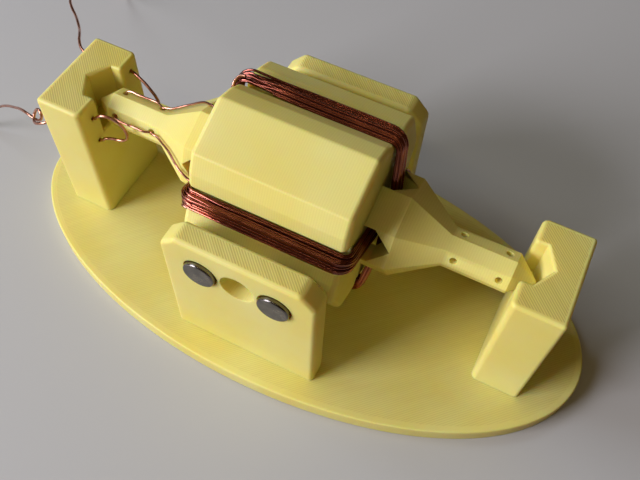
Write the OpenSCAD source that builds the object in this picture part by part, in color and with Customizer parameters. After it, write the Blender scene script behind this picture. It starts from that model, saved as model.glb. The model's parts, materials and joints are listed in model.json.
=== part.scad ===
// Demonstration electric motor: a printed stand with two magnet plates and two bearing posts,
// and a printed four-pole rotor with two wire windings, turning on its pointed ends.
// Millimetres. X runs along the rotor from the commutator post to the plain post, -Y is the
// front and Z is up. The origin is under the middle of the base.

/* [Base] */
// Thickness of the base
base_t = 3.7; // [2.4:0.1:6]
// How far the base reaches past each post
base_end_margin = 9.7; // [8:0.2:16]
// How far the base reaches past each magnet plate
base_side_margin = 5.4; // [4:0.2:12]

/* [Posts] */
// Thickness of a post along the rotor
post_t = 9.4; // [7.5:0.1:12]
// Width of a post across the rotor
post_w = 18.8; // [17:0.2:26]
// Height of a post above the base
post_h = 30; // [27:0.5:36]
// Radius of the two upright edges that face the rotor
post_edge_r = 1.2; // [0.4:0.1:2]
// Gap between the end of a shaft and the post's face
end_play = 1.1; // [0.6:0.1:2]
// Width of the pocket that holds a pointed end
pocket_w = 8; // [7.6:0.1:9]
// Depth of the pocket's straight sides
pocket_straight = 2.2; // [1.5:0.1:3]
// Depth of the point behind the straight sides
pocket_point = 2.3; // [2:0.1:3]
// Gap between a pointed end and the edge that carries it
seat_gap = 0.25; // [0.2:0.05:0.4]

/* [Magnet plates] */
// Thickness of a plate
plate_t = 4.6; // [3:0.1:6]
// Width of a plate
plate_w = 29.2; // [27:0.2:36]
// Height of a plate above the base
plate_h = 31; // [30:0.2:36]
// How far a plate's two top corners are cut off
plate_corner = 3; // [1:0.2:7]
// Gap between a plate and the rotor as it turns
air_gap = 1.15; // [0.8:0.05:2.5]
// Diameter of a magnet socket
socket_d = 6.4; // [5.4:0.1:7]
// Wall between two sockets
socket_wall = 0.6; // [0.4:0.1:1.2]
// How far the sockets sit below the rotor's axis
socket_drop = 0.4; // [0:0.1:2]
// Gap all round a magnet in its socket
magnet_gap = 0.2; // [0.1:0.05:0.3]
// Length of a magnet
magnet_l = 5; // [3:0.5:8]
// How far a magnet stands out of its plate
magnet_proud = 0.8; // [0:0.1:2]

/* [Rotor body] */
// Height of the rotor's axis above the base
axis_h = 24.4; // [23.5:0.1:26]
// Angle that the rotor is stopped at, towards the front
rotor_angle = 24.6; // [0:0.2:45]
// Length of the iron-shaped body
body_l = 29.4; // [24:0.2:34]
// Height of a shoe's flat crown above the axis
crown_r = 17.6; // [17.4:0.1:19]
// Width of a shoe's flat crown
crown_w = 10.4; // [9:0.2:12]
// Height of a shoe's shoulder above the axis
shoulder_r = 15; // [14.6:0.1:15.6]
// Width of a shoe across its shoulders
shoulder_w = 16.2; // [15.4:0.2:17]
// Height of a shoe's lip above the axis, along the slot
lip_r = 15.7; // [15.2:0.1:16]
// Bevel at each end of a shoe
shoe_bevel = 0.7; // [0.2:0.1:1.2]
// Width of a winding slot
slot_w = 3.8; // [3.7:0.1:4.4]
// Height of a slot's floor above the axis
slot_floor_r = 13.4; // [13:0.1:14]

/* [Rotor ends] */
// Size of a hub across its flats
hub_af = 17.2; // [16:0.2:19]
// Length of a hub
hub_l = 5.4; // [5.2:0.1:8]
// Length of the taper from hub to shaft
taper_l = 8; // [5:0.5:12]
// Size of a shaft across its flats
shaft_af = 7; // [6.4:0.1:7.4]
// Length of a shaft's straight part
shaft_l = 11.7; // [11.2:0.1:16]
// Length of a pointed end
tip_l = 4; // [3.6:0.1:4.4]
// Half width of the blunt nose of a pointed end
tip_nose = 0.3; // [0.2:0.1:0.6]
// Width of the wire tunnels through a hub
tunnel_w = 6.8; // [6:0.1:7.6]
// Depth of a tunnel's straight sides
tunnel_straight = 2; // [1.8:0.1:2.6]
// Diameter of the wire holes through a shaft
wire_hole_d = 1.35; // [1.2:0.05:1.6]
// Distance from the taper to the first pair of wire holes
first_hole = 1.9; // [1.5:0.1:2.3]
// Distance between the two pairs of wire holes
hole_pitch = 8.1; // [7.6:0.1:8.4]

/* [Windings] */
// Diameter of the winding wire
wire_d = 0.45; // [0.35:0.05:0.45]
// Distance between neighbouring turns
turn_pitch = 0.88; // [0.87:0.01:0.92]
// Height of the outer turns above the axis
turn_r = 17.1; // [16.8:0.1:17.3]
// Distance from the body to the outer turns where they bend
turn_end = 1.05; // [1:0.05:1.2]
// Distance from the body to the second winding's outer turns where they cross the first
cross_end = 2.4; // [2.3:0.05:2.5]
// Radius at which the outer turns bend
turn_bend = 2.2; // [1.5:0.1:2.6]

/* [Brushes and leads] */
// Diameter of the brush and lead wire
lead_d = 0.6; // [0.4:0.05:0.7]
// Diameter of the wire holes through the commutator post
post_hole_d = 1; // [0.9:0.05:1.4]
// Gap between a brush and the wires that pass it
brush_gap = 0.3; // [0.25:0.05:0.6]
// Height that the commutator wires are bowed off the shaft
contact_bow = 0.52; // [0.3:0.02:0.7]
// Depth to which a brush's free end is pushed into the post
brush_end = 4; // [2:0.5:6]

/* [Hidden] */

// Colours of the printed plastic, the magnets and the wire
PLASTIC = [0.93, 0.85, 0.5];
NICKEL = [0.7, 0.7, 0.7];
COPPER = [0.45, 0.18, 0.1];

// Heights
axis_z = base_t + axis_h;
socket_z = axis_z - socket_drop;
post_top = base_t + post_h;

// Places along the rotor, measured from its middle
body_end = body_l / 2;
hub_end = body_end + hub_l;
taper_end = hub_end + taper_l;
shaft_end = taper_end + shaft_l;
tip_end = shaft_end + tip_l;
post_face = shaft_end + end_play;
post_back = post_face + post_t;
hole_x1 = taper_end + first_hole;
hole_x2 = hole_x1 + hole_pitch;
tunnel_shoulder = body_end + tunnel_straight;

// Places across the rotor
swing_r = sqrt(pow(crown_r, 2) + pow(crown_w / 2, 2));
plate_face = swing_r + air_gap;
plate_back = plate_face + plate_t;
core_half = (slot_floor_r + slot_w / 2) / sqrt(2);
shaft_r = shaft_af / 2;

// The pointed end's corner radius where it passes the post's face, and the pocket's floor
OCTAGON_CORNER = 1 / cos(22.5);
tip_slope = (shaft_r - tip_nose) / tip_l;
tip_r_at_face = (shaft_r - tip_slope * end_play) * OCTAGON_CORNER;
pocket_floor = axis_z - tip_r_at_face - seat_gap;

// Sockets and magnets
socket_pitch = socket_d + socket_wall;
magnet_d = socket_d - 2 * magnet_gap;
magnet_end = plate_back + magnet_proud;

// Ellipse of the base
base_rx = post_back + base_end_margin;
base_ry = plate_back + base_side_margin;
BASE_SIDES = 144;
CUT = 1;
ROUND = 64;

// A long side of the wires on the shaft, and the plane in which the brushes bend round it
contact_r = shaft_r + wire_d / 2 + contact_bow;
brush_y = contact_r + wire_d / 2 + brush_gap + lead_d / 2;

// Each brush from its wire's first hole in the post to its second: distance from the post's
// face, distance outside the plane of the brush, and height above the axis
FRONT_BRUSH = [[0, 1, 1.9], [0.6, 1, 2.3], [1.4, 0.9, 3.2], [2.7, 0.7, 3.7], [4.2, 0.4, 3.5],
               [5.6, 0.2, 2.5], [6.3, 0, 0.8], [6.3, 0, -0.9], [5.5, 0, -2.2],
               [4.3, 0.1, -2.8], [2.8, 0.4, -2.9], [1.5, 0.8, -3.1], [0.6, 1, -3.8],
               [0, 1, -4.2]];
REAR_BRUSH = [[0, 1.6, 3], [0.8, 1.5, 2.9], [2.2, 1.2, 2.5], [3.6, 0.9, 1.9], [5, 0.5, 1.1],
              [6.2, 0.2, 0], [6.7, 0, -1.3], [6.2, 0, -2.6], [5, 0.1, -3.3],
              [3.4, 0.4, -3.6], [1.8, 0.8, -3.8], [0.7, 1, -4], [0, 1, -4.1]];
front_upper = FRONT_BRUSH[0];
front_lower = FRONT_BRUSH[len(FRONT_BRUSH) - 1];
rear_upper = REAR_BRUSH[0];
rear_lower = REAR_BRUSH[len(REAR_BRUSH) - 1];

// Routes of the two leads, from just behind the post down to the table and to their coils
FRONT_ROUTE = [[-52.4, -7.2, 24], [-54.4, -7.8, 23.2],
               [-56, -7.4, 22.3], [-57, -6.4, 22.2], [-57, -5.6, 23.1], [-56.2, -5.4, 24],
               [-55.2, -5.8, 24], [-55, -6.3, 23], [-55.8, -6.4, 22], [-57.2, -6.2, 21.5],
               [-59, -5.9, 21.6], [-62, -4.9, 20.5], [-65, -4.1, 18.8],
               [-68.5, -3.2, 16.6], [-71.8, -2.6, 14.1], [-74.5, -2.2, 11.4],
               [-76.9, -2, 8.5], [-79.1, -1.8, 5.7], [-81.1, -1.6, 3.2], [-82.9, -1.4, 1.3],
               [-84.5, -1.2, 0.4], [-85.8, -1.1, 0.3], [-87, -1.05, 0.3]];
REAR_ROUTE = [[-52.4, 6.9, 31.2], [-54.4, 8.6, 31.1], [-56.4, 11, 30.2],
              [-58.6, 13.4, 28.9], [-61, 15.7, 28], [-63.6, 18, 26.9], [-66.4, 20.2, 26.3],
              [-69, 22.8, 25.4], [-71, 25.6, 24.1], [-72.8, 28.8, 22.2],
              [-74.4, 32.2, 19.6], [-75.8, 35.7, 16.5], [-77, 39.2, 13.2],
              [-78, 42.6, 9.9], [-78.9, 45.8, 6.8], [-79.7, 48.7, 4.1],
              [-80.4, 51.3, 1.8], [-80.9, 53.2, 0.5], [-81.2, 54.6, 0.3],
              [-81.45, 55.8, 0.3]];
// Turns, pitch and middle radius of each lead's coil, which lies on the table
COIL_TURNS = 3;
COIL_PITCH = 1.05;
COIL_R = 3.3;
COIL_RINGS = 24;

function unit(v) = v / norm(v);
function last(list) = list[len(list) - 1];
function backwards(list) = [for (i = [len(list) - 1:-1:0]) list[i]];

// Distance from point p to the stretch from a to b
function stretch_gap(p, a, b) =
    let (t = max(0, min(1, (p - a) * (b - a) / ((b - a) * (b - a)))))
    norm(p - a - t * (b - a));

// Least gap between stretches of one tube that are more than skip rings apart
function self_gap(path, d, skip) =
    min([for (i = [0:len(path) - 1]) for (j = [0:len(path) - 2])
         if (j > i + skip || j < i - skip - 1) stretch_gap(path[i], path[j], path[j + 1])]) - d;

// One unbroken wire of diameter d along a path, with its rings carried along without twist
module wire(path, d, sides) {
    count = len(path);
    along = [for (i = [0:count - 1])
             unit(path[min(i + 1, count - 1)] - path[max(i - 1, 0)])];
    side0 = unit(cross(along[0], abs(along[0].z) < 0.8 ? [0, 0, 1] : [0, 1, 0]));
    across = [for (i = 0, n = side0; i < count;
                   i = i + 1,
                   n = i < count ? unit(n - (n * along[i]) * along[i]) : n) n];
    points = [for (i = [0:count - 1]) for (k = [0:sides - 1])
              let (a = 360 * (k + 0.5) / sides)
              path[i] + d / 2 * (cos(a) * across[i] + sin(a) * cross(along[i], across[i]))];
    walls = [for (i = [0:count - 2]) for (k = [0:sides - 1])
             let (a = i * sides + k, b = i * sides + (k + 1) % sides)
             each [[a, a + sides, b], [b, a + sides, b + sides]]];
    first_cap = [for (k = [1:sides - 2]) [0, k, k + 1]];
    end = (count - 1) * sides;
    last_cap = [for (k = [1:sides - 2]) [end, end + k + 1, end + k]];
    polyhedron(points, concat(first_cap, walls, last_cap), convexity = 6);
}

// Turns the rotor's own frame, with a shoe's crown up, to where the rotor stands
module on_rotor(turn = 0) {
    translate([0, 0, axis_z]) rotate([rotor_angle + turn, 0, 0]) children();
}

// ---- stand ----

module base_plate() {
    outline = [for (i = [0:BASE_SIDES - 1])
               let (a = 360 * i / BASE_SIDES) [base_rx * cos(a), base_ry * sin(a)]];
    color(PLASTIC) linear_extrude(base_t) polygon(outline);
}

// A post on the +X side, without its wire holes; its two edges towards the rotor are round
module post() {
    difference() {
        translate([0, 0, base_t]) linear_extrude(post_h) {
            translate([post_face + post_edge_r, -post_w / 2])
                square([post_t - post_edge_r, post_w]);
            translate([post_face, -post_w / 2 + post_edge_r])
                square([2 * post_edge_r, post_w - 2 * post_edge_r]);
            for (side = [-1, 1])
                translate([post_face + post_edge_r, side * (post_w / 2 - post_edge_r)])
                    circle(post_edge_r, $fn = ROUND);
        }
        translate([0, 0, pocket_floor]) linear_extrude(post_top - pocket_floor + CUT)
            polygon([[post_face - CUT, -pocket_w / 2],
                     [post_face + pocket_straight, -pocket_w / 2],
                     [post_face + pocket_straight + pocket_point, 0],
                     [post_face + pocket_straight, pocket_w / 2],
                     [post_face - CUT, pocket_w / 2]]);
    }
}

module end_post() {
    color(PLASTIC) post();
}

// Where a hole for a brush's wire runs, side -1 at the front and 1 at the rear
function post_hole(point, side) = [side * (brush_y + point.y), axis_z + point.z];

module commutator_post() {
    holes = [post_hole(front_upper, -1), post_hole(front_lower, -1),
             post_hole(rear_upper, 1), post_hole(rear_lower, 1)];
    color(PLASTIC) difference() {
        mirror([1, 0, 0]) post();
        for (hole = holes)
            translate([-post_back - CUT, hole.x, hole.y]) rotate([0, 90, 0])
                cylinder(h = post_t + 2 * CUT, d = post_hole_d, $fn = ROUND);
    }
}

// A magnet plate at the front, with three sockets through it
module magnet_plate() {
    side = plate_w / 2;
    corner_z = plate_h - plate_corner;
    translate([0, -plate_face, base_t]) rotate([90, 0, 0]) linear_extrude(plate_t)
        difference() {
            polygon([[-side, 0], [side, 0], [side, corner_z], [side - plate_corner, plate_h],
                     [plate_corner - side, plate_h], [-side, corner_z]]);
            for (place = [-1:1])
                translate([place * socket_pitch, socket_z - base_t])
                    circle(d = socket_d, $fn = ROUND);
        }
}

module front_magnet_plate() {
    color(PLASTIC) magnet_plate();
}

module rear_magnet_plate() {
    color(PLASTIC) mirror([0, 1, 0]) magnet_plate();
}

// A disc magnet, which stands out of its plate's outer face
module magnet(place, side) {
    color(NICKEL) translate([place * socket_pitch, side * (magnet_end - magnet_l), socket_z])
        rotate([-90 * side, 0, 0]) cylinder(h = magnet_l, d = magnet_d, $fn = ROUND);
}

module front_left_magnet() { magnet(-1, -1); }
module front_right_magnet() { magnet(1, -1); }
module rear_left_magnet() { magnet(-1, 1); }
module rear_right_magnet() { magnet(1, 1); }

// A brush's points in the stand, from the first hole to the second
function brush_bend(points, side) =
    [for (p = points) [-post_face + p.x, side * (brush_y + p.y), axis_z + p.z]];

// The front brush: its lead comes through the lower hole, and its end is in the upper one
module front_brush() {
    bend = brush_bend(FRONT_BRUSH, -1);
    first = [bend[0] - [brush_end, 0, 0], bend[0] - [lead_d, 0, 0]];
    through = [last(bend) - [lead_d, 0, 0], last(bend) - [post_t, 0, 0]];
    color(COPPER) wire(concat(first, bend, through), lead_d, 8);
}

// The rear brush: its lead comes through the upper hole, and its end is in the lower one
module rear_brush() {
    bend = brush_bend(REAR_BRUSH, 1);
    first = [bend[0] - [post_t, 0, 0], bend[0] - [lead_d, 0, 0]];
    pushed_in = [last(bend) - [lead_d, 0, 0], last(bend) - [brush_end, 0, 0]];
    color(COPPER) wire(concat(first, bend, pushed_in), lead_d, 8);
}

// Where each brush's wire leaves the back of the post as a lead, straight out at first
front_exit = last(brush_bend(FRONT_BRUSH, -1)) - [post_t, 0, 0];
rear_exit = brush_bend(REAR_BRUSH, 1)[0] - [post_t, 0, 0];

module lead(exit, route) {
    color(COPPER) wire(concat([exit, exit - [1.5 * lead_d, 0, 0]], route), lead_d, 8);
}

module front_lead() { lead(front_exit, FRONT_ROUTE); }
module rear_lead() { lead(rear_exit, REAR_ROUTE); }

// A flat coil that starts at the end of a route, in the route's direction, and winds inwards
function coil_path(route) =
    let (start = last(route),
         heading = unit(start - route[len(route) - 2]),
         side = [-heading.y, heading.x, 0],
         outer = COIL_R + COIL_PITCH * COIL_TURNS / 2,
         centre = start + heading * lead_d + outer * side)
    concat([start, start + heading * lead_d],
           [for (i = [1:COIL_TURNS * COIL_RINGS])
            let (a = 360 * i / COIL_RINGS, r = outer - COIL_PITCH * i / COIL_RINGS)
            centre + r * (sin(a) * heading - cos(a) * side)]);

module front_lead_coil() {
    path = coil_path(FRONT_ROUTE);
    echo(front_lead_coil_gap = self_gap(path, lead_d, COIL_RINGS / 2));
    color(COPPER) wire(path, lead_d, 6);
}

module rear_lead_coil() {
    path = coil_path(REAR_ROUTE);
    echo(rear_lead_coil_gap = self_gap(path, lead_d, COIL_RINGS / 2));
    color(COPPER) wire(path, lead_d, 6);
}

// ---- rotor ----

// A square bar whose four corners are cut back to make the floors of the slots
module armature_core() {
    color(PLASTIC) on_rotor() intersection() {
        cube([body_l, 2 * core_half, 2 * core_half], center = true);
        rotate([45, 0, 0]) cube([body_l + CUT, 2 * slot_floor_r, 2 * slot_floor_r], center = true);
    }
}

// Outline of a shoe that stands on the core: across the rotor, and out from its axis
function shoe_outline(inset) =
    let (lip_x = (lip_r - slot_w / 2) / sqrt(2), lip_h = (lip_r + slot_w / 2) / sqrt(2),
         foot_x = core_half - slot_w / sqrt(2))
    [[-foot_x, core_half], [foot_x, core_half], [lip_x - inset, lip_h],
     [shoulder_w / 2 - inset, shoulder_r - inset / 2], [crown_w / 2 - inset / 2, crown_r - inset],
     [-crown_w / 2 + inset / 2, crown_r - inset], [-shoulder_w / 2 + inset, shoulder_r - inset / 2],
     [-lip_x + inset, lip_h]];

// A slice of the shoe across the rotor, from one place along it to another
module shoe_slice(from, to, inset) {
    translate([from, 0, 0]) rotate([90, 0, 90]) linear_extrude(to - from)
        polygon(shoe_outline(inset));
}

module pole_shoe(turn) {
    color(PLASTIC) on_rotor(turn) hull() {
        shoe_slice(-body_end, body_end, shoe_bevel);
        shoe_slice(-body_end + shoe_bevel, body_end - shoe_bevel, 0);
    }
}

module top_pole_shoe() { pole_shoe(0); }
module front_pole_shoe() { pole_shoe(90); }
module bottom_pole_shoe() { pole_shoe(180); }
module rear_pole_shoe() { pole_shoe(270); }

// Side view of a rotor end, from the body to the pointed end
SIDE_VIEW = [[body_end, hub_af / 2], [hub_end, hub_af / 2], [taper_end, shaft_r],
             [shaft_end, shaft_r], [tip_end, tip_nose]];

// A rotor end on the +X side: eight-sided, so its side view is cut four times round
module rotor_end() {
    mirrored = [for (p = backwards(SIDE_VIEW)) [p.x, -p.y]];
    difference() {
        intersection_for (turn = [0:45:135])
            rotate([turn, 0, 0]) linear_extrude(2 * hub_af, center = true)
                polygon(concat(SIDE_VIEW, mirrored));
        for (turn = [45, 135]) rotate([turn, 0, 0]) {
            linear_extrude(2 * hub_af, center = true)
                polygon([[body_end - CUT, -tunnel_w / 2], [tunnel_shoulder, -tunnel_w / 2],
                         [tunnel_shoulder + tunnel_w / 2, 0],
                         [tunnel_shoulder, tunnel_w / 2], [body_end - CUT, tunnel_w / 2]]);
            for (x = [hole_x1, hole_x2])
                translate([x, 0, -hub_af]) cylinder(h = 2 * hub_af, d = wire_hole_d, $fn = ROUND);
        }
    }
}

module drive_shaft() {
    color(PLASTIC) on_rotor() rotor_end();
}

module commutator_shaft() {
    color(PLASTIC) on_rotor() mirror([1, 0, 0]) rotor_end();
}

// ---- windings ----

HALF_TURNS = 7;
HALF_RINGS = 12;
TURN_RINGS = 2 * HALF_RINGS;
LAST_RING = HALF_TURNS * HALF_RINGS + 1;

// Four points round a bend of radius r about a centre, from angle a0 to a1
function bend(centre, r, a0, a1) =
    [for (i = [0:3]) let (a = a0 + (a1 - a0) * i / 3) centre + r * [cos(a), sin(a)]];

// Half a turn in the winding's plane, along one slot and down the +X end, where it slants out
// to cross_x on its way past the axis. It lies inset within the outer turns.
function half_turn(cross_x, inset = 0) =
    let (run = body_end + turn_end - turn_bend, drop = turn_r - turn_bend,
         bend_r = turn_bend - inset, r = turn_r - inset, x = cross_x - inset)
    concat([[-run / 3, r], [run / 3, r]], bend([run, drop], bend_r, 90, 0),
           [[x, drop / 3], [x, -drop / 3]], bend([run, -drop], bend_r, 0, -90));

// How far ring i lies to the side of the winding's plane
function ring_side(i) = turn_pitch * (i - LAST_RING / 2) / TURN_RINGS;

// The wire from its hole by the pointed end, along the shaft and taper, up beside the turns
// and into the slot. Each point is a place along the rotor, a side step and a height above
// the axis.
tail =
    let (lift = wire_d / 2 + 0.15, dip = shaft_r + wire_d / 2 - 0.1,
         taper = (hub_af / 2 - shaft_r) / taper_l, clear = lift + 0.25,
         out_x = body_end + lift + 0.15, side = ring_side(0) - 0.06, beside = side - 0.8)
    [[-hole_x2, 0, shaft_r - 3 * wire_d], [-hole_x2, 0, shaft_r - 1.5 * wire_d],
     [-hole_x2, 0, shaft_r], [-hole_x2 + 0.15, 0, shaft_r + 0.35],
     [-hole_x2 + 0.5, 0, shaft_r + 0.6], [-hole_x2 + 1.1, 0, contact_r],
     [-(hole_x1 + hole_x2) / 2, 0, contact_r], [-hole_x1 - 1.1, 0, contact_r],
     [-hole_x1 - 0.5, 0, dip + 0.25], [-hole_x1, 0, dip], [-hole_x1 + 0.5, 0, dip + 0.25],
     [-taper_end - 0.3, 0, shaft_r + clear],
     [-taper_end + 1.5, 0, shaft_r + clear + 1.5 * taper + 0.1],
     [-(taper_end + hub_end) / 2, 0, (hub_af / 2 + shaft_r) / 2 + clear + 0.1],
     [-hub_end - 1, 0.3 * beside, hub_af / 2 + clear - 0.5],
     [-hub_end + 0.6, 0.6 * beside, hub_af / 2 + clear],
     [-(hub_end + out_x) / 2 - 0.2, 0.85 * beside, hub_af / 2 + clear + 0.2],
     [-out_x - 0.9, beside, hub_af / 2 + clear + 0.8], [-out_x - 0.1, beside, turn_r - 5.5],
     [-out_x, beside, turn_r - 3.8], [-out_x, beside, turn_r - 2],
     [-out_x + 0.2, (side + beside) / 2, turn_r - 0.9], [-out_x + 0.8, side, turn_r - 0.2],
     [-out_x + 1.6, side, turn_r]];

// The whole wire of a winding, from one shaft face to the opposite one
function winding_path(cross_x) =
    let (half = half_turn(cross_x),
         turns = [for (i = [0:LAST_RING])
                  let (p = half[i % HALF_RINGS], sign = floor(i / HALF_RINGS) % 2 == 0 ? 1 : -1)
                  [sign * p.x, ring_side(i), sign * p.y]])
    concat(tail, turns, [for (p = backwards(tail)) [p.x, -p.y, -p.z]]);

// The inner layers of a winding, which fill the slots under the outer turns
module winding_core(cross_x, inner_x) {
    outer = half_turn(cross_x, wire_d / 2 + 0.1);
    floor_r = slot_floor_r + 0.1;
    inner = [[-body_end - 0.15, floor_r], [body_end + 0.15, floor_r],
             [inner_x, slot_floor_r / 3], [inner_x, -slot_floor_r / 3]];
    rotate([90, 0, 0]) linear_extrude(slot_w - 0.6, center = true) difference() {
        polygon(concat(outer, [for (p = outer) -p]));
        polygon(concat(inner, [for (p = inner) -p]));
    }
}

// The first winding lies against the body, in the slots at the front top and rear bottom
module winding_a() {
    path = winding_path(body_end + turn_end);
    echo(winding_a_gap = self_gap(path, wire_d, HALF_RINGS - 1));
    color(COPPER) on_rotor(45) {
        wire(path, wire_d, 6);
        winding_core(body_end + turn_end, body_end + 0.15);
    }
}

// The second one crosses it further out, in the slots at the rear top and front bottom
module winding_b() {
    path = winding_path(body_end + cross_end);
    echo(winding_b_gap = self_gap(path, wire_d, HALF_RINGS - 1));
    color(COPPER) on_rotor(-45) {
        wire(path, wire_d, 6);
        winding_core(body_end + cross_end, body_end + turn_end + wire_d / 2 + 0.15);
    }
}

base_plate();
commutator_post();
end_post();
front_magnet_plate();
rear_magnet_plate();
front_left_magnet();
front_right_magnet();
rear_left_magnet();
rear_right_magnet();
front_brush();
rear_brush();
front_lead();
rear_lead();
front_lead_coil();
rear_lead_coil();
armature_core();
top_pole_shoe();
front_pole_shoe();
bottom_pole_shoe();
rear_pole_shoe();
commutator_shaft();
drive_shaft();
winding_a();
winding_b();
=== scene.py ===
# A demonstration electric motor: a printed stand that holds magnets and wire brushes, and a
# printed rotor with two windings of enamelled copper wire. It stands on a plain pale floor.
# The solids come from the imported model, in metres: X runs along the rotor, -Y is the front.

import json
import math

import bmesh
import bpy
from mathutils import Matrix, Vector, noise

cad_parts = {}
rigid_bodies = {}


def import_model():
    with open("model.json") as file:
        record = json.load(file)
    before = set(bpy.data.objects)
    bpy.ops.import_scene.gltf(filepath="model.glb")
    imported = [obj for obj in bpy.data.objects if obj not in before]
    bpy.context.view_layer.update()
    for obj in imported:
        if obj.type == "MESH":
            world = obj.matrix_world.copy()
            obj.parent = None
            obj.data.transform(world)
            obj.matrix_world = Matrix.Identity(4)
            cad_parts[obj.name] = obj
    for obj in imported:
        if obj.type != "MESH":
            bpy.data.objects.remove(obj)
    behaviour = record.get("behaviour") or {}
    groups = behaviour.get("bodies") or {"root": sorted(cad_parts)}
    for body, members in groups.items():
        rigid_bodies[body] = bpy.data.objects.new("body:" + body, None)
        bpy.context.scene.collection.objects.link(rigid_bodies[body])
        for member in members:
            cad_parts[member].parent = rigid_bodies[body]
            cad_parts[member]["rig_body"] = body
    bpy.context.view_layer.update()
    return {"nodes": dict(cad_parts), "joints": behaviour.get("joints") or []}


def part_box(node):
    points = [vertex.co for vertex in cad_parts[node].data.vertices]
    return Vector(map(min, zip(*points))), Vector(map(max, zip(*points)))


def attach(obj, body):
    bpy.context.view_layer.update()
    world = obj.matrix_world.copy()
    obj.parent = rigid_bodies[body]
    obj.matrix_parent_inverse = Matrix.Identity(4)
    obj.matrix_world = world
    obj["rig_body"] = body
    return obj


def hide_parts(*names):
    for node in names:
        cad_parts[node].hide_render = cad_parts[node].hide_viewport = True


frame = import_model()

# ---- The view ----
# The motor is seen from above its front right corner, along the rotor towards the commutator,
# as over the shoulder of someone who sits at the table.

EYE = Vector((0.03443, -0.07068, 0.13416))
EYE_TURN = (32.207, -1.975, 26.421)
LENS = 40.99

camera = bpy.data.objects.new("camera", bpy.data.cameras.new("camera"))
bpy.context.scene.collection.objects.link(camera)
camera.location = EYE
camera.rotation_euler = [math.radians(angle) for angle in EYE_TURN]
camera.data.lens = LENS
camera.data.sensor_width = 36
camera.data.clip_start = 0.005
camera.data.clip_end = 10
bpy.context.scene.camera = camera

# ---- Leads ----
# Two lengths of enamelled copper wire leave the back of the commutator post and are bent by
# hand down to the table. Their spare length lies in a small coil, and their ends are bare.
# The sizes and routes of all wires are in millimetres.

MM = 0.001
LEAD = 0.6
FRONT_ROUTE = [(-50.3, -6.07, 23.9), (-51.2, -6.07, 23.9), (-52.4, -7.2, 24),
               (-54.4, -7.8, 23.2), (-56, -7.4, 22.3), (-57, -6.4, 22.2), (-57, -5.6, 23.1),
               (-56.2, -5.4, 24), (-55.2, -5.8, 24), (-55, -6.3, 23), (-55.8, -6.4, 22),
               (-57.2, -6.2, 21.5), (-59, -5.9, 21.6), (-62, -4.9, 20.5), (-65, -4.1, 18.8),
               (-68.5, -3.2, 16.6), (-71.8, -2.6, 14.1), (-74.5, -2.2, 11.4), (-76.9, -2, 8.5),
               (-79.1, -1.8, 5.7), (-81.1, -1.6, 3.2), (-82.9, -1.4, 1.3), (-84.5, -1.2, 0.4),
               (-85.8, -1.1, 0.3), (-87, -1.05, 0.3)]
REAR_ROUTE = [(-50.3, 6.67, 31.1), (-51.2, 6.67, 31.1), (-52.4, 6.9, 31.2),
              (-54.4, 8.6, 31.1), (-56.4, 11, 30.2), (-58.6, 13.4, 28.9), (-61, 15.7, 28),
              (-63.6, 18, 26.9), (-66.4, 20.2, 26.3), (-69, 22.8, 25.4),
              (-71, 25.6, 24.1), (-72.8, 28.8, 22.2), (-74.4, 32.2, 19.6),
              (-75.8, 35.7, 16.5), (-77, 39.2, 13.2), (-78, 42.6, 9.9), (-78.9, 45.8, 6.8),
              (-79.7, 48.7, 4.1), (-80.4, 51.3, 1.8), (-80.9, 53.2, 0.5), (-81.2, 54.6, 0.3),
              (-81.45, 55.8, 0.3)]
COIL_TURNS = 3
COIL_PITCH = 1.05
COIL_RADIUS = 3.3
COIL_STEPS = 24


class Signal:
    """A socket of a material, which takes part in a sum as a number does."""

    def __init__(self, finish, socket):
        self.finish = finish
        self.socket = socket

    def math(self, operation, first, second=None):
        values = {0: first} if second is None else {0: first, 1: second}
        return self.finish.node("ShaderNodeMath", {"operation": operation}, values)

    def __add__(self, other):
        return self.math("ADD", self, other)

    def __sub__(self, other):
        return self.math("SUBTRACT", self, other)

    def __rsub__(self, other):
        return self.math("SUBTRACT", other, self)

    def __mul__(self, other):
        return self.math("MULTIPLY", self, other)

    def __truediv__(self, other):
        return self.math("DIVIDE", self, other)

    __radd__ = __add__
    __rmul__ = __mul__

    def wave(self, pitch):
        """A smooth ripple from 0 to 1 that repeats at the pitch."""
        return 0.5 + 0.5 * self.math("SINE", self * (2 * math.pi / pitch))

    def between(self, low, high):
        """0 below low, 1 above high, and an even rise from one to the other."""
        settings = {"clamp": True}
        values = {0: self, 1: low, 2: high, 3: 0.0, 4: 1.0}
        return self.finish.node("ShaderNodeMapRange", settings, values)

    def root(self):
        return self.math("SQRT", self)

    def least(self, other):
        return self.math("MINIMUM", self, other)


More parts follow.
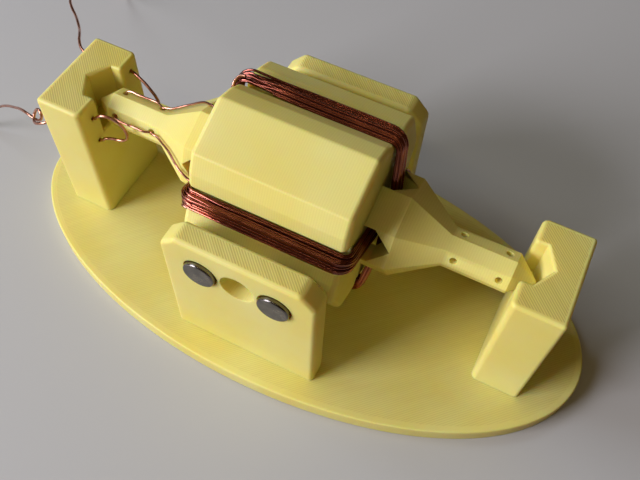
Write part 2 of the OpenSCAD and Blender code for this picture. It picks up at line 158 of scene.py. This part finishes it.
class Finish:
    """A material with one shader. What doesn't vary over the surface is set on the shader."""

    def __init__(self, name, **constants):
        self.material = bpy.data.materials.new(name)
        self.material.use_nodes = True
        self.tree = self.material.node_tree
        self.shader = self.tree.nodes["Principled BSDF"]
        for socket, value in constants.items():
            self.shader.inputs[socket.replace("_", " ")].default_value = value

    def node(self, kind, settings=None, values=None, output=0):
        """Adds a node, makes its settings, and then fills its sockets."""
        made = self.tree.nodes.new(kind)
        for name, value in (settings or {}).items():
            setattr(made, name, value)
        for name, value in (values or {}).items():
            if isinstance(value, Signal):
                self.tree.links.new(value.socket, made.inputs[name])
            else:
                made.inputs[name].default_value = value
        return Signal(self, made.outputs[output])

    def place(self):
        """The place on the piece, in metres: the whole vector, and its X, Y and Z."""
        vector = self.node("ShaderNodeTexCoord", output="Object")
        split = [self.node("ShaderNodeSeparateXYZ", None, {0: vector}, axis)
                 for axis in range(3)]
        return [vector, *split]

    def cloud(self, vector, grain, detail=2.0):
        """Soft noise from about 0.3 to 0.7, in patches about as wide as the grain."""
        values = {"Vector": vector, "Scale": 1 / grain, "Detail": detail}
        return self.node("ShaderNodeTexNoise", None, values)

    def mix(self, factor, first, second):
        """A colour between two others."""
        values = {0: factor, 6: first, 7: second}
        return self.node("ShaderNodeMix", {"data_type": "RGBA"}, values, 2)

    def feed(self, socket, signal):
        self.tree.links.new(signal.socket, self.shader.inputs[socket])

    def relief(self, height, depth, strength):
        """Raises the surface by up to depth, as light sees it."""
        values = {"Strength": strength, "Distance": depth, "Height": height}
        self.feed("Normal", self.node("ShaderNodeBump", None, values))


def copper(name, dark, bright, grain, gloss):
    """Enamelled copper wire: metal under a clear brown lacquer that has rubbed unevenly."""
    finish = Finish(name, Metallic=0.92, Coat_Weight=0.6, Coat_Roughness=0.08)
    vector = finish.place()[0]
    worn = finish.cloud(vector, grain).between(0.4, 0.62)
    finish.feed("Base Color", finish.mix(worn, (*dark, 1), (*bright, 1)))
    finish.feed("Roughness", gloss + 0.1 * finish.cloud(vector, grain / 4))
    return finish.material


def wire(name, points, thickness, material, body, smooth=True):
    """Bends a wire through the points, given in millimetres, with its two ends cut square."""
    line = bpy.data.curves.new(name, "CURVE")
    line.dimensions = "3D"
    line.bevel_depth = thickness / 2 * MM
    line.bevel_resolution = 3
    line.use_fill_caps = True
    places = [Vector(point) * MM for point in points]
    if smooth:
        spline = line.splines.new("BEZIER")
        spline.resolution_u = 6
        spline.bezier_points.add(len(places) - 1)
        for knot, place in zip(spline.bezier_points, places):
            knot.co = place
            knot.handle_left_type = knot.handle_right_type = "AUTO"
    else:
        spline = line.splines.new("POLY")
        spline.points.add(len(places) - 1)
        for knot, place in zip(spline.points, places):
            knot.co = (*place, 1)
    line.materials.append(material)
    piece = bpy.data.objects.new(name, line)
    bpy.context.scene.collection.objects.link(piece)
    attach(piece, body)
    return piece


def with_coil(route):
    """A lead's route and then its coil, which lies flat on the table and winds inwards."""
    start, before = Vector(route[-1]), Vector(route[-2])
    heading = (start - before).normalized()
    side = Vector((-heading.y, heading.x, 0))
    outer = COIL_RADIUS + COIL_PITCH * COIL_TURNS / 2
    centre = start + heading * LEAD + side * outer
    coil = [start + heading * LEAD]
    for step in range(1, COIL_TURNS * COIL_STEPS + 1):
        angle = 2 * math.pi * step / COIL_STEPS
        radius = outer - COIL_PITCH * step / COIL_STEPS
        coil.append(centre + radius * (math.sin(angle) * heading - math.cos(angle) * side))
    return [*route, *coil]


lead_copper = copper("lead_copper", (0.36, 0.13, 0.07), (0.62, 0.29, 0.18), 3 * MM, 0.2)
for side, route in (("front", FRONT_ROUTE), ("rear", REAR_ROUTE)):
    points = with_coil(route)
    lead = wire(f"{side}_lead_wire", points, LEAD, lead_copper, "stand")
    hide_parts(f"{side}_lead", f"{side}_lead_coil")

# ---- Printed stand ----
# The base, posts and magnet plates are printed upright in pale yellow plastic that light
# enters a little way. Their walls show fine layers, and their tops show slanting lines, with
# painted shade in the valleys between them.

LINE_WIDTH = 0.4 * MM
LAYER = 0.2 * MM
ROTOR_LAYER = 0.45 * MM
WALL_LINES = 0.85 * MM
BASE_WALL_LINES = 1.3 * MM
TOP_REACH = 5 * MM
LIT_YELLOW = (0.84, 0.785, 0.27, 1)
DEEP_YELLOW = (0.83, 0.72, 0.17, 1)
# a darker yellow, mixed in as painted shade in the print's valleys and as random streaks
SHADE_AND_STREAK_YELLOW = (0.5, 0.38, 0.06, 1)
PATCH = 16 * MM
LIGHT_ENTERS = 2.4 * MM
LINE_DEPTH = 0.05 * MM
HOLE_ROUNDING = 0.1 * MM
HOLE_STEP = 0.5 * MM


def printed_plastic(name, layers_along, top_lines=None, top_from=0.0):
    """Printed plastic with layers across X or Z, and with lines on its level faces above the
    height top_from. The valleys between the layers and between the slanting lines are painted
    a darker yellow as shade, and the lines also get random darker streaks. From the place on
    the piece, top_lines gives how far in from the outline that is, how wide the band of lines
    that follow the outline is, the distance across the slanting lines inside that band, and
    how deep those are."""
    finish = Finish(name, Subsurface_Weight=0.5, Subsurface_Radius=(1.0, 0.5, 0.08),
                    Subsurface_Scale=LIGHT_ENTERS, Specular_IOR_Level=0.42)
    vector, x, y, z = finish.place()
    patches = finish.cloud(vector, PATCH).between(0.3, 0.7)
    tone = finish.mix(patches, DEEP_YELLOW, LIT_YELLOW)
    layers = x.wave(ROTOR_LAYER) if layers_along == "X" else z.wave(LAYER)
    height = 0.2 * layers
    # painted shade: the valley between each two layers is coloured darker
    valley_shade_and_streaks = 0.16 * (1 - layers)
    if top_lines:
        facing = finish.node("ShaderNodeTexCoord", output="Normal")
        up = finish.node("ShaderNodeSeparateXYZ", None, {0: facing}, 2)
        inward, ring, across, depth = top_lines(x, y)
        ragged = 0.5 * MM * finish.cloud(vector, 0.5 * MM)
        top = up.between(0.9, 0.97) * z.between(top_from, top_from + 0.1 * MM)
        inside = top * (inward + ragged).between(ring + 0.2 * MM, ring + 0.35 * MM)
        outside = top * (1 - inside)
        streaks = finish.node("ShaderNodeCombineXYZ", None, {0: across, 1: 0.06 * (x + y), 2: z})
        uneven = finish.cloud(streaks, 0.9 * MM).between(0.3, 0.7)
        inside = depth * inside
        lines = across.wave(LINE_WIDTH)
        height = height * (1 - top) + lines * inside + 0.4 * outside * inward.wave(LINE_WIDTH)
        # painted shade in the valleys between the slanting lines, plus random darker streaks
        valley_shade_and_streaks = valley_shade_and_streaks * (1 - top) + inside * (0.3 * uneven + (1 - lines).between(0.3, 1))
    # the darker yellow goes where the painted shade and the streaks are
    finish.feed("Base Color", finish.mix(0.6 * valley_shade_and_streaks, tone, SHADE_AND_STREAK_YELLOW))
    finish.feed("Roughness", 0.4 + 0.16 * finish.cloud(vector, 2 * MM))
    finish.relief(height, LINE_DEPTH, 0.3)
    return finish.material


def off_the_printer(node, material, rounding, stays_sharp, segments=3):
    """The node's own solid, which takes its place, with its edges rounded. Those where it
    joins another printed piece stay sharp. The rims of holes, which are made of short steps,
    are rounded after the others and by less."""
    shape = bmesh.new()
    shape.from_mesh(frame["nodes"][node].data)
    bmesh.ops.remove_doubles(shape, verts=shape.verts, dist=0.002 * MM)
    bmesh.ops.dissolve_limit(shape, angle_limit=math.radians(0.5), verts=shape.verts,
                             edges=shape.edges)
    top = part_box(node)[1].z
    for is_hole, offset in ((False, rounding), (True, HOLE_ROUNDING)):
        corners = [edge for edge in shape.edges
                   if edge.is_manifold and edge.is_convex
                   and edge.calc_face_angle() > math.radians(12)
                   and not all(stays_sharp(vert.co) for vert in edge.verts)
                   and is_hole == (edge.calc_length() < HOLE_STEP
                                   and edge.verts[0].co.z < top - HOLE_STEP)]
        bmesh.ops.bevel(shape, geom=corners, offset=offset, offset_type="OFFSET",
                        segments=segments, profile=0.5, affect="EDGES", clamp_overlap=True,
                        material=-1)
    for edge in shape.edges:
        edge.smooth = not edge.is_manifold or edge.calc_face_angle() < math.radians(40)
    for face in shape.faces:
        face.smooth = True
    mesh = bpy.data.meshes.new(node + "_print")
    shape.to_mesh(mesh)
    shape.free()
    mesh.materials.append(material)
    piece = bpy.data.objects.new(node + "_print", mesh)
    bpy.context.scene.collection.objects.link(piece)
    shading = piece.modifiers.new("even_shading", "WEIGHTED_NORMAL")
    shading.keep_sharp = True
    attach(piece, frame["nodes"][node]["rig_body"])
    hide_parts(node)


def base_lines(x, y):
    """The lines on the oval base, whose outer band follows its rim."""
    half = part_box("base_plate")[1]
    out = ((x / half.x) * (x / half.x) + (y / half.y) * (y / half.y)).root()
    across = x / half.x**2
    along = y / half.y**2
    inward = out * (1 - out) / (across * across + along * along).root()
    return inward, BASE_WALL_LINES, (x - y) * math.sqrt(0.5), 0.4


def block_lines(node):
    """The lines on a post or a plate, whose top is a rectangle."""
    low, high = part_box(node)

    def lines(x, y):
        inward = (x - low.x).least(high.x - x).least((y - low.y).least(high.y - y))
        return inward, WALL_LINES, (x + y) * math.sqrt(0.5), 1

    return lines


base_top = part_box("base_plate")[1].z
for node, rounding in (("base_plate", 0.35 * MM), ("commutator_post", 0.7 * MM),
                       ("end_post", 0.7 * MM), ("front_magnet_plate", 0.9 * MM),
                       ("rear_magnet_plate", 0.9 * MM)):
    top_lines = base_lines if node == "base_plate" else block_lines(node)
    top_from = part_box(node)[1].z - TOP_REACH
    material = printed_plastic(node + "_plastic", "Z", top_lines, top_from)
    off_the_printer(node, material, rounding,
                    lambda place: node != "base_plate" and place.z < base_top + 0.01 * MM)

# ---- Magnets ----
# Four nickel-plated discs are pushed into the outer sockets of the plates. Their rims are
# rounded, and handling has left their faces duller in patches.

MAGNET_ROUNDING = 0.35 * MM
DARK_NICKEL = (0.13, 0.118, 0.105, 1)
PALE_NICKEL = (0.22, 0.2, 0.18, 1)

nickel = Finish("nickel", Metallic=1.0)
vector = nickel.place()[0]
marks = nickel.cloud(vector, 1.6 * MM, 4.0).between(0.35, 0.65)
nickel.feed("Base Color", nickel.mix(marks, DARK_NICKEL, PALE_NICKEL))
nickel.feed("Roughness", 0.12 + 0.16 * marks)
nickel.relief(nickel.cloud(vector, 0.35 * MM), 0.01 * MM, 0.4)

for node in ("front_left_magnet", "front_right_magnet", "rear_left_magnet",
             "rear_right_magnet"):
    low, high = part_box(node)
    middle = (low + high) / 2
    disc = bmesh.new()
    bmesh.ops.create_cone(disc, cap_ends=True, segments=64, radius1=(high.x - low.x) / 2,
                          radius2=(high.x - low.x) / 2, depth=high.y - low.y,
                          matrix=Matrix.Translation(middle) @ Matrix.Rotation(math.pi / 2, 4, "X"))
    rims = [edge for edge in disc.edges if edge.calc_face_angle() > math.radians(60)]
    bmesh.ops.bevel(disc, geom=rims, offset=MAGNET_ROUNDING, offset_type="OFFSET", segments=5,
                    profile=0.5, affect="EDGES", clamp_overlap=True, material=-1)
    for face in disc.faces:
        face.smooth = True
    mesh = bpy.data.meshes.new(node + "_disc")
    disc.to_mesh(mesh)
    disc.free()
    mesh.materials.append(nickel.material)
    piece = bpy.data.objects.new(node + "_disc", mesh)
    bpy.context.scene.collection.objects.link(piece)
    piece.modifiers.new("even_shading", "WEIGHTED_NORMAL")
    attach(piece, "stand")
    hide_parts(node)

# ---- Brushes ----
# Each lead's wire runs on through the commutator post and bends round beside the shaft, and
# its end is pushed back into a second hole. The rotor's contact wires pass close by.

FRONT_BRUSH = [(-44.9, -6.07, 30), (-41.5, -6.07, 30), (-40.9, -6.07, 30),
               (-40.3, -6.07, 30.4), (-39.5, -6.07, 31.3), (-38.2, -5.77, 31.8),
               (-36.7, -5.47, 31.6), (-35.3, -5.27, 30.6), (-34.6, -5.07, 28.9),
               (-34.6, -5.07, 27.2), (-35.4, -5.07, 25.9), (-36.6, -5.17, 25.3),
               (-38.1, -5.47, 25.2), (-39.4, -5.87, 25), (-40.3, -6.07, 24.3),
               (-40.9, -6.07, 23.9), (-41.5, -6.07, 23.9), (-50.3, -6.07, 23.9)]
REAR_BRUSH = [(-50.3, 6.67, 31.1), (-41.5, 6.67, 31.1), (-40.9, 6.67, 31.1),
              (-40.1, 6.57, 31), (-38.7, 6.27, 30.6), (-37.3, 5.97, 30), (-35.9, 5.57, 29.2),
              (-34.7, 5.27, 28.1), (-34.2, 5.07, 26.8), (-34.7, 5.07, 25.5),
              (-35.9, 5.17, 24.8), (-37.5, 5.47, 24.5), (-39.1, 5.87, 24.3),
              (-40.2, 6.07, 24.1), (-40.9, 6.07, 24), (-41.5, 6.07, 24), (-44.9, 6.07, 24)]

for node, points in (("front_brush", FRONT_BRUSH), ("rear_brush", REAR_BRUSH)):
    brush = wire(node + "_wire", points, LEAD, lead_copper, "stand")
    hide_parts(node)

# ---- Printed rotor ----
# The core, its four pole shoes and the two eight-sided ends are one print, made standing on
# end, so its layers lie across the rotor. The shoes' edges are softly rounded.

CORE_CORNER = 13.55 * MM
CORE_ROUNDING = 0.1 * MM
SHOE_ROUNDING = 0.8 * MM
SHAFT_ROUNDING = 0.2 * MM
axis_z = frame["joints"][0]["pos_m"][2]
body_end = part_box("armature_core")[1].x

rotor_plastic = printed_plastic("rotor_plastic", "X")


def under_a_shoe(place):
    """Whether a corner of a shoe is one of those where it grows out of the core."""
    return math.hypot(place.y, place.z - axis_z) < CORE_CORNER + 0.05 * MM


def against_the_body(place):
    """Whether a corner of a shaft is one of those where its hub meets the body."""
    return abs(abs(place.x) - body_end) < 0.01 * MM


off_the_printer("armature_core", rotor_plastic, CORE_ROUNDING, lambda place: True)
for node in ("top_pole_shoe", "front_pole_shoe", "bottom_pole_shoe", "rear_pole_shoe"):
    off_the_printer(node, rotor_plastic, SHOE_ROUNDING, under_a_shoe, segments=5)
for node in ("commutator_shaft", "drive_shaft"):
    off_the_printer(node, rotor_plastic, SHAFT_ROUNDING, against_the_body)

# ---- Windings ----
# Each winding is one enamelled wire wound over the core in two opposite slots, through the
# tunnels in the hubs. It spreads there, and its last turns cross over the others. Both its
# ends run along the commutator end to their holes, where they are the rotor's contacts.

ROTOR_TURN = math.radians(24.6)
TURN_WIRE = 0.48
TAIL_WIRE = 0.45
COLUMNS = 6
SIDE_PITCH = 0.58
LEAN = -0.1
LAYERS = 4
LAYER_STEP = 0.48
OUTER = 17.05
END = 15.75
END_SHIFT = 0.15
END_STEP = 0.25
CROSSING = 1.35
BEND = 2.8
TIGHTEST_BEND = 0.7
SPREAD = 1.5
WOBBLE = 0.05
RIDE_UP = 0.8
LAST_TURNS = ((-1.2, 0.9), (0.9, -0.3))
LAST_TURNS_UNDER = -0.7

winding_copper = copper("winding_copper", (0.2, 0.042, 0.02), (0.42, 0.11, 0.055), 9 * MM, 0.06)


def turn_points(side_at, under, cross, squeeze, seed):
    """One turn, from the middle of its first slot round the body and back: places along the
    rotor, sideways and out from the axis, in the winding's own plane. It lies under that many
    layers, and cross is how far along the rotor its ends reach beside the axis. The turns are
    squeezed together at the commutator's end, where every second one rides up."""
    quarter = [math.radians(15 * step) for step in range(7)]
    end, out = END - under * END_STEP, OUTER - under * LAYER_STEP
    bend = max(TIGHTEST_BEND, BEND - under * LAYER_STEP)
    cross -= under * END_STEP
    run, drop = end - bend, out - bend
    half = [(-run * 0.6, out), (-run * 0.2, out), (run * 0.2, out), (run * 0.6, out)]
    half += [(run + bend * math.sin(a), drop + bend * math.cos(a)) for a in quarter]
    half += [(cross, drop / 3), (cross, 0), (cross, -drop / 3)]
    half += [(run + bend * math.cos(a), -drop - bend * math.sin(a)) for a in quarter]
    points = []
    for number, (along, height) in enumerate(half + [(-a, -h) for a, h in half]):
        side = side_at(number / (2 * len(half)))
        side *= 1 + (SPREAD - 1) * max(0, 1 - abs(height) / (0.8 * out))
        tight = squeeze * min(1, max(0, -along / run)) * min(1, max(0, abs(height) / drop - 0.4))
        side *= 1 - tight
        place = Vector((along / 7, height / 7, seed))
        side += WOBBLE * noise.noise(place)
        lift = WOBBLE * noise.noise(place + Vector((0, 0, 40))) + RIDE_UP * tight * (seed % 2)
        points.append((along + END_SHIFT, side, height + math.copysign(lift, height)))
    return points


def winding_points(cross, squeeze):
    """The turns of a winding, layer by layer, and then its last turns across the others."""
    points = []
    turn = 0
    for layer in range(LAYERS):
        columns = COLUMNS - layer // 2
        sides = [SIDE_PITCH * (column - (columns - 1) / 2) + LEAN * layer
                 for column in range(columns)]
        if layer % 2:
            sides.reverse()
        for here, following in zip(sides, sides[1:] + sides[-1:]):
            turn += 1
            points += turn_points(
                lambda share: here + (following - here) * min(1, max(0, 10 * share - 5)),
                LAYERS - 1 - layer, cross, squeeze, turn)
    for start, finish in LAST_TURNS:
        turn += 1
        points += turn_points(lambda share: start + (finish - start) * share, LAST_TURNS_UNDER,
                              cross, squeeze, turn)
    return points


def on_rotor(points, angle):
    """Turns points from a winding's plane to where it lies on the resting rotor."""
    turn = Matrix.Rotation(ROTOR_TURN + math.radians(angle), 3, "X")
    return [turn @ Vector(point) + Vector((0, 0, axis_z / MM)) for point in points]


# A winding's end, from its hole by the pointed end to the slot
TAIL = [(-38.1, 0, 2.2), (-38.1, 0, 2.9), (-38.1, 0, 3.5), (-37.95, 0, 3.85),
        (-37.6, 0.03, 4.1), (-37, 0.05, 4.24), (-35.5, -0.05, 4.26), (-34, 0, 4.24),
        (-32.5, 0.05, 4.26), (-31.1, 0, 4.24), (-30.5, 0, 3.88), (-30, 0, 3.64),
        (-29.5, 0, 3.88), (-28.4, 0, 4.13), (-26.6, 0, 5.18), (-24.1, 0, 6.78),
        (-21.1, -0.72, 8.73), (-19.5, -1.45, 9.23), (-17.9, -2.05, 9.43),
        (-16.1, -2.42, 10.03), (-15.3, -2.42, 11.6), (-15.2, -2.42, 13.3),
        (-15.2, -2.4, 15.1), (-15, -1.95, 16.2), (-14.4, -1.5, 16.9), (-13.6, -1.41, 17.1)]

for node, angle, cross, squeeze in (("winding_a", 45, END, 0.15),
                                    ("winding_b", -45, END + CROSSING, 0.4)):
    turns = wire(node + "_turns", on_rotor(winding_points(cross, squeeze), angle), TURN_WIRE,
                 winding_copper, "rotor", smooth=False)
    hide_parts(node)
    far_tail = [(along, -side, -height) for along, side, height in TAIL]
    for end, points in (("start", TAIL), ("finish", far_tail)):
        wire(f"{node}_{end}", on_rotor(points, angle), TAIL_WIRE, lead_copper, "rotor")

# ---- Floor and light ----
# A plain pale floor, and a wide soft lamp at the front left, low as from a window. A weaker
# one stands higher at the left, and a thin strip above draws a line of light on each wire.
# The surround is dim and warm. The floor is pale to the camera and in reflections, but the
# light it bounces onto the motor is painted in a dim warm colour.

FLOOR_TONE = (0.54, 0.54, 0.5, 1)
# painted bounce light: the floor's colour for the light it throws back onto the motor
FLOOR_PAINTED_BOUNCE = (0.3, 0.22, 0.1, 1)
FLOOR_REACH = 3
SURROUND_TONE = (1, 0.55, 0.12, 1)
SURROUND_STRENGTH = 0.05

floor_finish = Finish("floor_paint", Roughness=0.7)
by_camera = floor_finish.node("ShaderNodeLightPath", output="Is Camera Ray")
by_glossy = floor_finish.node("ShaderNodeLightPath", output="Is Glossy Ray")
# camera and reflections see the pale floor; the light bounced onto the motor is painted dim and
# warm
seen = by_camera + by_glossy
floor_finish.feed("Base Color", floor_finish.mix(seen, FLOOR_PAINTED_BOUNCE, FLOOR_TONE))
floor_shape = bmesh.new()
bmesh.ops.create_grid(floor_shape, x_segments=1, y_segments=1, size=FLOOR_REACH)
floor_mesh = bpy.data.meshes.new("floor")
floor_shape.to_mesh(floor_mesh)
floor_shape.free()
floor_mesh.materials.append(floor_finish.material)
floor = bpy.data.objects.new("floor", floor_mesh)
bpy.context.scene.collection.objects.link(floor)

for name, place, length, width, power, tint in (
        ("window", (-0.61, -0.66, 0.43), 0.42, 0.42, 9.2, (1, 0.98, 1.15)),
        ("sky", (-0.8, -0.05, 0.75), 0.5, 0.5, 3.3, (0.9, 1, 1.2)),
        ("strip", (-0.1, -0.45, 0.82), 1.3, 0.03, 1, (1, 0.88, 0.6))):
    lamp = bpy.data.lights.new(name, "AREA")
    lamp.shape = "RECTANGLE"
    lamp.size = length
    lamp.size_y = width
    lamp.energy = power
    lamp.color = tint
    light = bpy.data.objects.new(name, lamp)
    light.location = place
    light.rotation_euler = (-Vector(place)).to_track_quat("-Z", "Y").to_euler()
    bpy.context.scene.collection.objects.link(light)

world = bpy.data.worlds.new("surround")
bpy.context.scene.world = world
world.use_nodes = True
surround = world.node_tree.nodes["Background"]
surround.inputs["Color"].default_value = SURROUND_TONE
surround.inputs["Strength"].default_value = SURROUND_STRENGTH
bpy.context.scene.view_settings.view_transform = "Standard"
